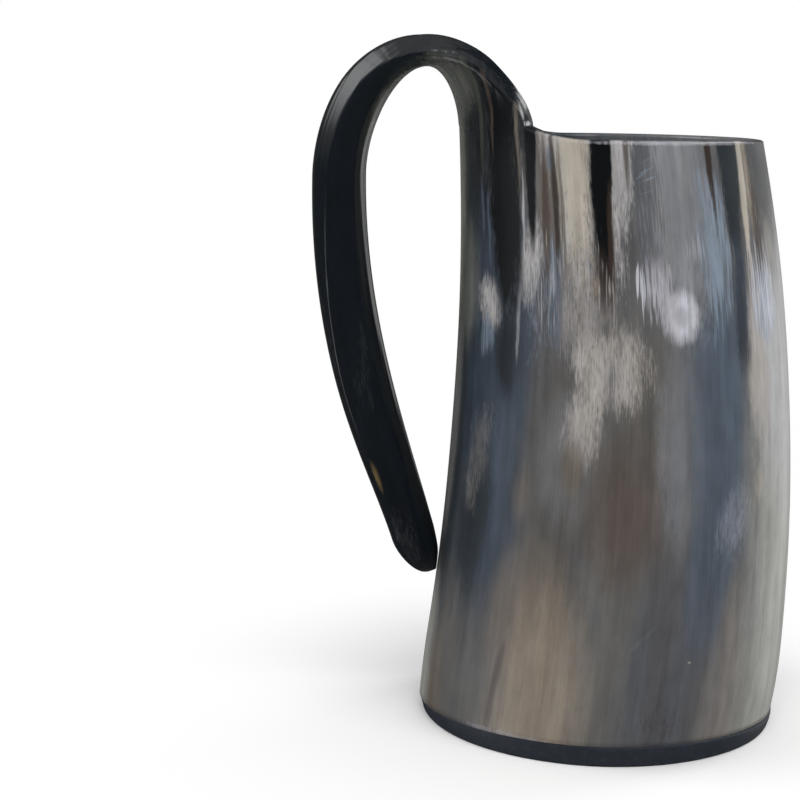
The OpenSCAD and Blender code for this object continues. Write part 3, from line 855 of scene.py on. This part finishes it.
@dataclass(frozen=True)
class Section:
    """Cross-section of the handle.

    Each pair is a half width and a height over the underside, in millimetres. An ease is the share of the
    faces beside a ridge that its rounding takes up.
    """

    under: Pair
    low_ridge: Pair
    high_ridge: Pair
    top: Pair
    middle: float
    low_ease: float = 0.45
    high_ease: float = 0.15

    def numbers(self) -> tuple[float, ...]:
        """All of its sizes in one row."""
        return (*self.under, *self.low_ridge, *self.high_ridge, *self.top, self.middle)

    @classmethod
    def between(cls, stations: Sequence["Section"], place: float) -> "Section":
        """The section at a place between stations.

        Args:
            stations: Sections at even steps along the handle.
            place: From 0 at the first to 1 at the last.

        Returns:
            The section there.
        """
        n = [spline(row, place) for row in zip(*(s.numbers() for s in stations))]
        return cls((n[0], n[1]), (n[2], n[3]), (n[4], n[5]), (n[6], n[7]), n[8])

    def side(self) -> list[Pair]:
        """Points up the side face, from the underside's edge to the top's, with eased ridges.

        Returns:
            As many points as SIDE_POINTS, between the two edges, which aren't repeated.
        """
        points = [mix_pair(self.under, self.low_ridge, share) for share in (0.1, 0.35)]
        corners = ((self.under, self.low_ridge, self.high_ridge, self.low_ease),
                   (self.low_ridge, self.high_ridge, self.top, self.high_ease))
        for before, ridge, after, ease in corners:
            start = mix_pair(before, ridge, 1 - ease)
            end = mix_pair(ridge, after, ease)
            for t in (0.0, 1 / 3, 2 / 3, 1.0):
                points.append(mix_pair(mix_pair(start, ridge, t), mix_pair(ridge, end, t), t))
        points += [mix_pair(self.high_ridge, self.top, share) for share in (0.55, 0.9)]
        return points


@dataclass
class Horn:
    """The cup and its handle in one piece of horn. Sizes are in millimetres and angles in degrees.

    Pulls are the shares of a stretch of the handle over which its curve keeps the direction of its end. Each
    wave of the scraped wall has a depth, a count round the cup and a length up it.
    """

    finish: HornFinish
    rim_height: float = 145.0
    rim_radius: float = 36.9
    foot_radius: float = 45.3
    foot_height: float = 5.4
    wall: float = 4.0
    belly: float = 0.7
    bow: float = 4.5
    rim_shift: float = 0.6
    rim_tilt: float = 0.4
    foot_draw: float = 0.6
    foot_draw_height: float = 15.0
    lip: float = 1.0
    seat_top: float = 15.9
    seat_runout: float = 14.0
    strip_angle: float = 52.0
    strip_climb: float = 3.0
    climb_angle: float = 24.0
    arch_rise: float = 16.4
    arch_out: float = 7.9
    finger_gap: float = 22.6
    grip_drop: float = 10.0
    tip_height: float = 46.1
    tip_lean: float = 16.0
    tip_bevel: float = -1.9
    tip_gap: float = 0.3
    tip_round: float = 10.5
    tip_shrink: float = 0.75
    tip_heart: float = 0.2
    tip_slant: float = 0.8
    tip_ease: float = 0.75
    root_pull: float = 0.5
    grip_pull: float = 0.45
    leg_pull: float = 0.4
    tip_pull: float = 0.28
    corner_ease: float = 0.4
    waves: tuple[tuple[float, int, float], ...] = ((0.10, 2, 31.0), (0.06, 5, -17.0), (0.03, 9, 9.0))
    strip_steps: int = 36
    cup_steps: int = 96
    wall_rows: int = 56
    row_crowding: float = 1.15
    stretch_rows: tuple[int, int, int] = (40, 40, 70)
    tip_steps: int = 11
    tip_turn: int = 8
    tip_caps: Pair = (0.6, 0.3)
    bends: list = field(init=False)
    stations: list = field(init=False)
    angles: list = field(init=False)

    def __post_init__(self) -> None:
        """Works out the handle's path, its sections and the angles of the columns."""
        rest = 360.0 - 2.0 * self.strip_angle
        self.angles = [self.strip_angle * (2 * i / self.strip_steps - 1) for i in range(self.strip_steps + 1)]
        self.angles += [self.strip_angle + rest * i / self.cup_steps for i in range(1, self.cup_steps)]
        self.bends = self.handle_bends()
        self.stations = self.handle_stations()

    def share(self, z: float) -> float:
        """Share of the horn's height at a height above the table."""
        return (z - self.foot_height) / (self.rim_height - self.foot_height)

    def outer_radius(self, z: float) -> float:
        """Outside radius at a height."""
        drawn = self.foot_draw * max(0.0, 1 - (z - self.foot_height) / self.foot_draw_height) ** 2
        return (mix(self.foot_radius, self.rim_radius, self.share(z))
                + self.belly * hump(self.share(z)) - drawn)

    def middle(self, z: float) -> float:
        """Where the cup's bowed middle lies along X at a height."""
        return self.bow * hump(self.share(z)) - self.rim_shift * self.share(z)

    def side_x(self, z: float) -> float:
        """Where the wall below the handle lies along X at a height."""
        return self.middle(z) - self.outer_radius(z)

    def lip_foot(self, angle: float) -> float:
        """Height where the lip's rounding starts, which climbs to the strip.

        Args:
            angle: Degrees round the cup from the handle.

        Returns:
            The height above the table.
        """
        wrapped = abs(angle - 360.0 if angle > 180.0 else angle)
        climb = max(0.0, 1 - max(0.0, wrapped - self.strip_angle) / self.climb_angle)
        nearer = self.rim_tilt * max(0.0, math.sin(math.radians(angle)))
        return self.rim_height - self.lip + self.strip_climb * climb ** 2 + nearer

    def ring_place(self, x: float, radius: float, angle: float, z: float) -> Vector:
        """A point on a level circle, in metres."""
        a = math.radians(angle)
        return Vector((x - radius * math.cos(a), -radius * math.sin(a), z)) * MM

    def grain_place(self, angle: float, depth: float, along: float) -> Vector:
        """A point of the straight horn that the grain runs along.

        Args:
            angle: Degrees round the cup from the handle.
            depth: How far it lies below the outside.
            along: Length of the grain up to there.

        Returns:
            The point, in metres.
        """
        a = math.radians(angle)
        radius = self.finish.reference_radius - depth
        return Vector((radius * math.sin(a), radius * math.cos(a), along)) * MM

    def uneven(self, angle: float, z: float) -> float:
        """Slight unevenness of the hand-scraped outside, in millimetres."""
        a = math.radians(angle)
        return sum(depth * math.sin(count * a + z / length) for depth, count, length in self.waves)

    def column_places(self, angle: float) -> list[tuple[Vector, Vector]]:
        """Places and grain of one column: up the outside, over the lip and down the inside.

        Args:
            angle: The column's angle from the handle.

        Returns:
            A place and a grain coordinate for each vertex.
        """
        top = self.lip_foot(angle)
        foot = self.foot_height - foot_drop(angle)
        steps = [(i / self.wall_rows) ** self.row_crowding for i in range(self.wall_rows + 1)]
        heights = [mix(foot, top, step) for step in steps]
        places = []
        for z in heights:
            radius = self.outer_radius(z) + self.uneven(angle, z)
            place = self.ring_place(self.middle(z), radius, angle, z)
            places.append((place, self.grain_place(angle, 0.0, z)))
        half = self.wall / 2
        outside = self.outer_radius(top) + self.uneven(angle, top)
        for i in range(1, SIDE_POINTS + 1):
            b = math.pi * i / (SIDE_POINTS + 1)
            z = top + self.lip * math.sqrt(math.sin(b))
            depth = half * (1 - math.cos(b))
            places.append((self.ring_place(self.middle(top), outside - depth, angle, z),
                           self.grain_place(angle, depth, z)))
        for z in reversed(heights):
            runout = smooth((z - self.seat_top) / self.seat_runout)
            seat = self.foot_radius - self.foot_draw - self.wall
            radius = mix(seat, self.outer_radius(z) + self.uneven(angle, z) - self.wall, runout)
            places.append((self.ring_place(self.middle(z) * runout, radius, angle, z),
                           self.grain_place(angle, self.wall, z)))
        return places

    def handle_bends(self) -> list[tuple[Vector, ...]]:
        """The handle's underside as three cubic curves in the XZ plane.

        Returns:
            Four points for each curve: from root to arch, arch to grip and grip to tip.
        """
        root_z = self.lip_foot(0.0)
        root = Vector((self.side_x(root_z), root_z))
        slope = Vector((self.side_x(root_z) - self.side_x(root_z - 1), 1.0))
        arch = Vector((self.side_x(self.rim_height) - self.arch_out, self.rim_height + self.arch_rise))
        grip = Vector((self.side_x(self.rim_height) - self.finger_gap, self.rim_height - self.grip_drop))
        tip = Vector((self.side_x(self.tip_height) + self.tip_bevel, self.tip_height))
        lean = math.radians(self.tip_lean)
        tip_way = Vector((math.sin(lean), -math.cos(lean)))
        rise = arch.y - root.y
        fall = grip.y - tip.y
        pull = self.root_pull
        over = Vector((mix(arch.x, grip.x, pull), arch.y))
        above = Vector((grip.x, mix(grip.y, arch.y, self.grip_pull)))
        return [
            (root, root + pull * rise * slope, arch + Vector((pull * self.arch_out, 0)), arch),
            (arch, over, above, grip),
            (grip, grip - Vector((0, self.leg_pull * fall)), tip - self.tip_pull * fall * tip_way, tip)]

    def handle_stations(self) -> list[Section]:
        """Sections of the handle at even steps of its path.

        Returns:
            The root, the rise, the arch, the shoulder, the grip, the taper and the tip.
        """
        a = math.radians(self.strip_angle)
        outer = self.outer_radius(self.lip_foot(0.0))
        inner = outer - self.wall
        under = (outer * math.sin(a), outer * (1 - math.cos(a)))
        top = (inner * math.sin(a), self.wall + inner * (1 - math.cos(a)))
        return [
            Section(under, mix_pair(under, top, 1 / 3), mix_pair(under, top, 2 / 3), top, self.wall),
            Section((20.6, 7.0), (21.3, 8.4), (21.2, 9.8), (20.2, 11.5), 5.6),
            Section((12.2, 0.6), (13.1, 1.6), (13.2, 3.5), (9.4, 7.5), 7.4),
            Section((9.3, 2.6), (10.3, 4.6), (10.0, 7.8), (5.8, 11.4), 12.0),
            Section((8.5, 2.8), (9.7, 5.4), (9.4, 9.3), (5.8, 12.4), 13.2),
            Section((7.2, 3.1), (8.6, 6.2), (7.6, 11.9), (5.0, 13.2), 13.8),
            Section((4.7, 2.6), (5.9, 4.9), (6.0, 8.3), (4.3, 10.3), 11.1)]

    def path(self, u: float) -> tuple[Vector, Vector]:
        """The underside's line and its direction.

        Args:
            u: From 0 at the root, through 1 at the arch and 2 at the grip, to 3 at the tip.

        Returns:
            The point and the unit direction, in the XZ plane.
        """
        i = min(len(self.bends) - 1, int(u))
        p, q, r, s = self.bends[i]
        t = u - i
        point = (1 - t) ** 3 * p + 3 * t * (1 - t) ** 2 * q + 3 * t * t * (1 - t) * r + t ** 3 * s
        way = (1 - t) ** 2 * (q - p) + 2 * t * (1 - t) * (r - q) + t * t * (s - r)
        return point, way.normalized()

    def loop_places(self, u: float, along: float, shrink: float = 1.0,
                    ahead: float = 0.0) -> list[tuple[Vector, Vector]]:
        """Places and grain of one loop round the handle.

        Args:
            u: The place along the path.
            along: Length of the grain up to there, in millimetres.
            shrink: Share of the section's size, less than 1 where the tip rounds off.
            ahead: Distance past the place along the path.

        Returns:
            A place and a grain coordinate for each vertex: underside, near side, top and far side.
        """
        section = Section.between(self.stations, u / len(self.bends))
        limit = math.radians(self.strip_angle)
        strip = self.angles[:self.strip_steps + 1]
        across = [math.sin(math.radians(a)) / math.sin(limit) for a in strip]
        depth = [(1 - math.cos(math.radians(a))) / (1 - math.cos(limit)) for a in strip]
        under = [(section.under[0] * w, section.under[1] * d) for w, d in zip(across, depth)]
        near = section.side()
        top = [(section.top[0] * w, mix(section.middle, section.top[1], d)) for w, d in zip(across, depth)]
        far = [(-w, n) for w, n in reversed(near)]
        slant = self.tip_slant if u == len(self.bends) else 0.0
        swell = self.lip * (1 - smooth(u / self.corner_ease))
        turns = [math.pi * (i + 1) / (SIDE_POINTS + 1) for i in range(SIDE_POINTS)]
        bulge = [swell * math.sqrt(math.sin(b)) for b in turns]
        bulges = [0.0] * len(under) + bulge + [0.0] * len(top) + bulge
        spread = self.finish.reference_radius / self.outer_radius(self.lip_foot(0.0))
        places = []
        for (w, n), proud in zip(under + near + top[::-1] + far, bulges):
            over = mix(self.tip_heart * section.middle, n, shrink)
            forward = ahead + proud - slant * (1 - over / section.middle)
            grain = Vector((w * spread, self.finish.reference_radius - n * spread, along + forward)) * MM
            places.append((self.handle_place(u, w * shrink, over, forward), grain))
        return places

    def handle_place(self, u: float, across: float, over: float, ahead: float) -> Vector:
        """A point of the handle, kept out of the cup's wall.

        Args:
            u: The place along the path.
            across: Distance to the near side.
            over: Height over the underside.
            ahead: Distance past the place along the path.

        Returns:
            The point, in metres.
        """
        point, way = self.path(u)
        x = point.x + over * way.y + ahead * way.x
        z = point.y - over * way.x + ahead * way.y
        y = -across
        if u > len(self.bends) - 1:
            dx = x - self.middle(z)
            radius = self.outer_radius(z) + self.tip_gap
            distance = math.hypot(dx, y)
            if distance < radius:
                x = self.middle(z) + dx * radius / distance
                y = y * radius / distance
        return Vector((x, y, z)) * MM

    def build(self) -> bpy.types.Object:
        """Builds the cup from a circle, then draws the strip at the rim out into the handle.

        Returns:
            The horn's object.
        """
        bm = bmesh.new()
        grain = bm.verts.layers.float_vector.new("grain")
        columns = [self.column_places(a) for a in self.angles]
        made = bmesh.ops.create_circle(bm, segments=len(self.angles), radius=self.foot_radius * MM)
        ring = list(made["verts"])
        rings = []
        for row in range(len(columns[0])):
            ring = extrude_ring(bm, ring) if row else ring
            self.put(ring, [column[row] for column in columns], grain)
            rings.append(ring)
        bmesh.ops.bridge_loops(bm, edges=loop_edges(rings[0], bm) + loop_edges(rings[-1], bm))
        self.draw_handle(bm, self.open_strip(bm, rings), grain)
        return finish_object(bm, "horn_cup_and_handle", self.finish.build())

    @staticmethod
    def put(ring: Sequence[bmesh.types.BMVert], places: Sequence[tuple[Vector, Vector]], grain: Any) -> None:
        """Moves a ring's vertices to their places and notes their grain.

        Args:
            ring: The vertices.
            places: A place and a grain coordinate for each.
            grain: The mesh's layer of grain coordinates.
        """
        for vert, (place, along) in zip(ring, places):
            vert.co = place
            vert[grain] = along

    def open_strip(self, bm: bmesh.types.BMesh, rings: Sequence[Sequence[bmesh.types.BMVert]]) -> list:
        """Takes the lip away at the strip.

        Args:
            bm: The cup's mesh.
            rings: The cup's rings, from the foot over the lip and down inside.

        Returns:
            The open edge's vertices in the order of the handle's loops.
        """
        first = self.wall_rows
        last = first + SIDE_POINTS + 1
        width = self.strip_steps
        lip = {v for ring in rings[first:last + 1] for v in ring[:width + 1]}
        loop = list(rings[first][:width + 1])
        loop += [rings[row][width] for row in range(first + 1, last)]
        loop += list(rings[last][width::-1])
        loop += [rings[row][0] for row in range(last - 1, first, -1)]
        faces = [f for f in bm.faces if all(v in lip for v in f.verts)]
        bmesh.ops.delete(bm, geom=faces, context="FACES")
        return loop

    def draw_handle(self, bm: bmesh.types.BMesh, loop: list, grain: Any) -> None:
        """Extrudes the strip's open edge along the handle and closes it at the tip.

        Args:
            bm: The cup's mesh.
            loop: The open edge's vertices.
            grain: The mesh's layer of grain coordinates.
        """
        along = self.lip_foot(0.0)
        before = self.path(0.0)[0]
        for stretch, rows in enumerate(self.stretch_rows):
            for row in range(1, rows + 1):
                u = stretch + row / rows
                here = self.path(u)[0]
                along += (here - before).length
                before = here
                loop = extrude_ring(bm, loop)
                self.put(loop, self.loop_places(u, along), grain)
        u = float(len(self.bends))
        for step in range(1, self.tip_steps + 1):
            b = math.radians(self.tip_turn * step)
            shrink = 1 - self.tip_shrink * (1 - math.cos(b)) ** self.tip_ease
            loop = extrude_ring(bm, loop)
            self.put(loop, self.loop_places(u, along, shrink, self.tip_round * math.sin(b)), grain)
        for share in self.tip_caps:
            loop = extrude_ring(bm, loop)
            self.put(loop, self.loop_places(u, along, share * shrink, self.tip_round), grain)
        bmesh.ops.contextual_create(bm, geom=loop_edges(loop, bm))


@dataclass
class BaseDisc:
    """The painted disc under the horn, with the spigot that goes up inside it. Sizes are in millimetres."""

    finish: BasePaint
    low_radius: float = 44.1
    edge_radius: float = 44.7
    thick: float = 5.0
    chamfer: float = 0.6
    spigot_radius: float = 40.3
    spigot_top: float = 12.0
    spigot_chamfer: float = 0.4
    paint_edge: float = 0.33
    paint_width: float = 0.4
    paint_round: float = 0.1
    paint_overlap: float = 0.3
    slow_wave: float = 0.06
    quick_wave: float = 0.04
    segments: int = 128

    def place(self, radius: float, turn: float, z: float) -> Vector:
        """A point of the disc, whose rim follows the foot's hand-cut line.

        Args:
            radius: Distance from the axis.
            turn: Angle round the axis, in radians.
            z: Height above the table on a level rim.

        Returns:
            The point, in metres.
        """
        uneven = self.slow_wave * math.sin(3 * turn + z) + self.quick_wave * math.sin(7 * turn)
        on_rim = z <= self.thick + self.paint_edge
        drop = foot_drop(180 - math.degrees(turn)) * min(1.0, z / self.thick) if on_rim else 0.0
        return turned_place(radius + uneven, turn, z - drop)

    def build(self) -> bpy.types.Object:
        """Turns the disc from a circle: up the edge, in over the top, up the spigot and across.

        Returns:
            The disc's object.
        """
        c = self.chamfer
        ease = [(self.low_radius - c + c * math.sin(b), c - c * math.cos(b))
                for b in (math.radians(t) for t in (0, 22.5, 45, 67.5, 90))]
        side = ((self.low_radius, c), (self.edge_radius, self.thick - self.paint_overlap))
        edge = [mix_pair(*side, share) for share in (0.35, 0.7, 1.0)]
        lip = self.thick + self.paint_edge
        inner = self.edge_radius - self.paint_width
        top = [(self.edge_radius, lip - self.paint_round), (self.edge_radius - self.paint_round, lip),
               (inner, lip), (inner, self.thick), (self.spigot_radius, self.thick),
               (self.spigot_radius, self.spigot_top - self.spigot_chamfer),
               (self.spigot_radius - self.spigot_chamfer, self.spigot_top)]
        bm = bmesh.new()
        turn_profile(bm, ease + edge + top, self.segments, self.place)
        return finish_object(bm, "base_disc_painted", self.finish.build())


@dataclass
class BaseSeal:
    """The cured glue that seats the disc and seals the cup's floor. Sizes are in millimetres."""

    finish: GlueFinish
    floor: float = 13.4
    under: float = 12.0
    radius: float = 40.65
    fillet: float = 2.5
    ring_radius: float = 44.2
    ring_low: float = 5.0
    ring_high: float = 5.35
    sleeve_radius: float = 40.4
    segments: int = 128

    def place(self, radius: float, turn: float, z: float) -> Vector:
        """A point of the glue, whose ring under the wall follows the foot's line, in metres."""
        drop = foot_drop(180 - math.degrees(turn)) if z <= self.ring_high else 0.0
        return turned_place(radius, turn, z - drop)

    def build(self) -> bpy.types.Object:
        """Turns the glue from its floor: out over the fillet, down the sleeve and out under the wall.

        Returns:
            The glue's object.
        """
        f = self.fillet
        floor = [((self.radius - f) * share, self.floor) for share in (0.25, 0.5, 0.75)]
        fillet = [(self.radius - f * (1 - math.sin(b)), self.floor + f * (1 - math.cos(b)))
                  for b in (math.radians(t) for t in range(0, 91, 15))]
        rest = [(self.radius, self.ring_high), (self.ring_radius, self.ring_high),
                (self.ring_radius, self.ring_low), (self.sleeve_radius, self.ring_low),
                (self.sleeve_radius, self.under)]
        bm = bmesh.new()
        turn_profile(bm, floor + fillet + rest, self.segments, self.place)
        return finish_object(bm, "base_seal_glue", self.finish.build())


@dataclass(frozen=True)
class Pane:
    """A bright part of the room that only reflections show.

    It lies in a direction, and fades in between two cosines of the angle to it.
    """

    name: str
    direction: tuple[float, float, float]
    fades_from: float
    full_from: float
    strength: float


@dataclass(frozen=True)
class SoftBox:
    """A soft lamp. Its place and size are in millimetres and its power in watts.

    A box that isn't reflected has a softer pane in its place.
    """

    name: str
    place: tuple[float, float, float]
    size: Pair
    power: float
    reflected: bool = False


@dataclass
class Studio:
    """Plain pale floor, soft light and the photograph's camera. Sizes are in millimetres."""

    camera_place: tuple[float, float, float] = (-51.0, -460.1, 158.2)
    camera_pitch: float = 9.76
    camera_roll: float = 0.8
    lens: float = 83.9
    sensor: float = 36.0
    near: float = 10.0
    floor_half: float = 3000.0
    paper: str = "#fafafa"
    white: str = "#ffffff"
    ambient: float = 0.45
    front_wall: float = 0.05
    paper_from: float = 45.0
    white_from: float = 130.0
    panes: tuple[Pane, ...] = (
        Pane("right wall", (0.8, 0.6, 0.0), 0.8, 1.0, 0.8),
        Pane("left window", (-0.68, -0.1, 0.72), 0.6, 0.95, 0.5),
        Pane("low spot on the left", (-0.92, -0.2, -0.34), 0.965, 0.985, 1.2),
        Pane("left skylight", (-0.8, 0.05, 0.6), 0.9, 1.0, 3.0),
        Pane("right glint", (0.72, -0.12, 0.69), 0.97, 0.995, 8.0),
        Pane("front glint", (0.3, -0.6, 0.74), 0.95, 0.99, 4.0),
    )
    boxes: tuple[SoftBox, ...] = (
        SoftBox("soft_box_front", (200, -500, 760), (900, 60), 4.4),
        SoftBox("soft_box_left", (-655, 30, 605), (620, 620), 2.5),
        SoftBox("soft_box_right", (560, 380, 700), (320, 320), 1.6, reflected=True),
    )
    lamp_target: tuple[float, float, float] = (0.0, 0.0, 80.0)

    def build(self) -> None:
        """Makes the camera, the floor, the lamps and the world."""
        scene = bpy.context.scene
        scene.view_settings.view_transform = "Standard"
        self.place_camera(scene)
        self.lay_floor()
        self.hang_lamps(scene)
        scene.world = self.make_world()

    def place_camera(self, scene: bpy.types.Scene) -> None:
        """Stands the camera where the photograph was taken from.

        Args:
            scene: The scene that gets the camera.
        """
        camera = bpy.data.cameras.new("photograph_camera")
        camera.lens = self.lens
        camera.sensor_width = self.sensor
        camera.clip_start = self.near * MM
        stand = bpy.data.objects.new("photograph_camera", camera)
        tilt = Matrix.Rotation(math.radians(90 - self.camera_pitch), 4, "X")
        roll = Matrix.Rotation(math.radians(self.camera_roll), 4, "Z")
        stand.matrix_world = Matrix.Translation(Vector(self.camera_place) * MM) @ tilt @ roll
        scene.collection.objects.link(stand)
        scene.camera = stand

    def lay_floor(self) -> None:
        """Lays a white floor that runs out into the white background and keeps the shadow."""
        bm = bmesh.new()
        bmesh.ops.create_grid(bm, x_segments=2, y_segments=2, size=self.floor_half * MM)
        floor = finish_object(bm, "floor", self.floor_material())
        floor.visible_glossy = False

    def floor_material(self) -> bpy.types.Material:
        """Matt white paper that fades into pure white away from the object.

        Returns:
            The material.
        """
        material, tree, output = new_material("matt_white_paper")
        place = add_node(tree, "ShaderNodeTexCoord").outputs["Object"]
        away = add_node(tree, VECTOR_MATH, {0: place}, operation="LENGTH")
        fade = add_node(tree, MAP_RANGE, {0: away.outputs["Value"], 1: self.paper_from * MM,
                                          2: self.white_from * MM}, interpolation_type="SMOOTHSTEP")
        path = add_node(tree, "ShaderNodeLightPath").outputs
        seen = add_node(tree, MATH, {0: path["Is Camera Ray"], 1: path["Is Glossy Ray"]}, operation="ADD")
        clear = add_node(tree, MATH, {0: seen.outputs[0], 1: path["Is Transmission Ray"]},
                         operation="ADD", use_clamp=True)
        share = add_node(tree, MATH, {0: fade.outputs[0], 1: clear.outputs[0]}, operation="MULTIPLY")
        paper = add_node(tree, "ShaderNodeBsdfDiffuse", {"Color": linear(self.paper)})
        white = add_node(tree, "ShaderNodeEmission", {"Color": linear(self.white), "Strength": 1.0})
        both = add_node(tree, "ShaderNodeMixShader", {0: share.outputs[0], 1: paper.outputs[0],
                                                      2: white.outputs[0]})
        tree.links.new(both.outputs[0], output.inputs[0])
        return material

    def hang_lamps(self, scene: bpy.types.Scene) -> None:
        """Hangs a narrow soft box high in front, a broad one on the left and a small one behind.

        Args:
            scene: The scene that gets the lamps.
        """
        for box in self.boxes:
            light = bpy.data.lights.new(box.name, "AREA")
            light.shape = "RECTANGLE"
            light.size = box.size[0] * MM
            light.size_y = box.size[1] * MM
            light.energy = box.power
            lamp = bpy.data.objects.new(box.name, light)
            turn = (Vector(self.lamp_target) - Vector(box.place)).to_track_quat("-Z", "Y")
            lamp.matrix_world = Matrix.Translation(Vector(box.place) * MM) @ turn.to_matrix().to_4x4()
            lamp.visible_glossy = box.reflected
            scene.collection.objects.link(lamp)

    def make_world(self) -> bpy.types.World:
        """A white surround to look at, a dim room with bright panes to reflect, and plain light for the rest.

        Returns:
            The world.
        """
        world = bpy.data.worlds.new("white_surround")
        world.use_nodes = True
        tree = world.node_tree
        tree.nodes.clear()
        path = add_node(tree, "ShaderNodeLightPath").outputs
        way = add_node(tree, "ShaderNodeTexCoord").outputs["Generated"]
        wall = self.front_wall
        for pane in self.panes:
            toward = add_node(tree, VECTOR_MATH, {0: way, 1: pane.direction}, operation="DOT_PRODUCT")
            bright = add_node(tree, MAP_RANGE, {
                0: toward.outputs["Value"], 1: pane.fades_from, 2: pane.full_from, 4: pane.strength},
                interpolation_type="SMOOTHSTEP")
            wall = add_node(tree, MATH, {0: bright.outputs[0], 1: wall}, operation="MAXIMUM").outputs[0]
        bounce = add_node(tree, MATH, {0: path["Is Glossy Ray"], 1: path["Is Transmission Ray"]},
                          operation="MAXIMUM")
        light = add_node(tree, MIX, {0: bounce.outputs[0], 2: self.ambient, 3: wall})
        strength = add_node(tree, MIX, {0: path["Is Camera Ray"], 2: light.outputs[0], 3: 1.0})
        white = add_node(tree, "ShaderNodeBackground", {"Color": linear(self.white),
                                                        "Strength": strength.outputs[0]})
        add_node(tree, "ShaderNodeOutputWorld", {0: white.outputs[0]})
        return world


def fit_piece(piece: bpy.types.Object, node: str) -> None:
    """Sets a finished piece in the place of its CAD node.

    Args:
        piece: The finished piece.
        node: The node that it stands for.
    """
    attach(piece, BODY)
    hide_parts(node)
    LOG.info("%s stands for %s with %d faces", piece.name, node, len(piece.data.polygons))


def main() -> None:
    """Builds the tankard piece by piece, then the studio round it."""
    logging.basicConfig(level=logging.INFO, format="%(name)s: %(message)s")
    horn_finish = HornFinish(reference_radius=40.0, wall=Horn.wall)
    pieces: tuple[tuple[Callable[[], bpy.types.Object], str, str], ...] = (
        (Horn(horn_finish).build, "horn", "horn"),
        (BaseDisc(BasePaint()).build, "base_disc", "base_paint"),
        (BaseSeal(GlueFinish()).build, "base_seal", "seal"),
    )
    for build, node, slot in pieces:
        fit_piece(build(), node)
    Studio().build()


if __name__ == "__main__":
    main()
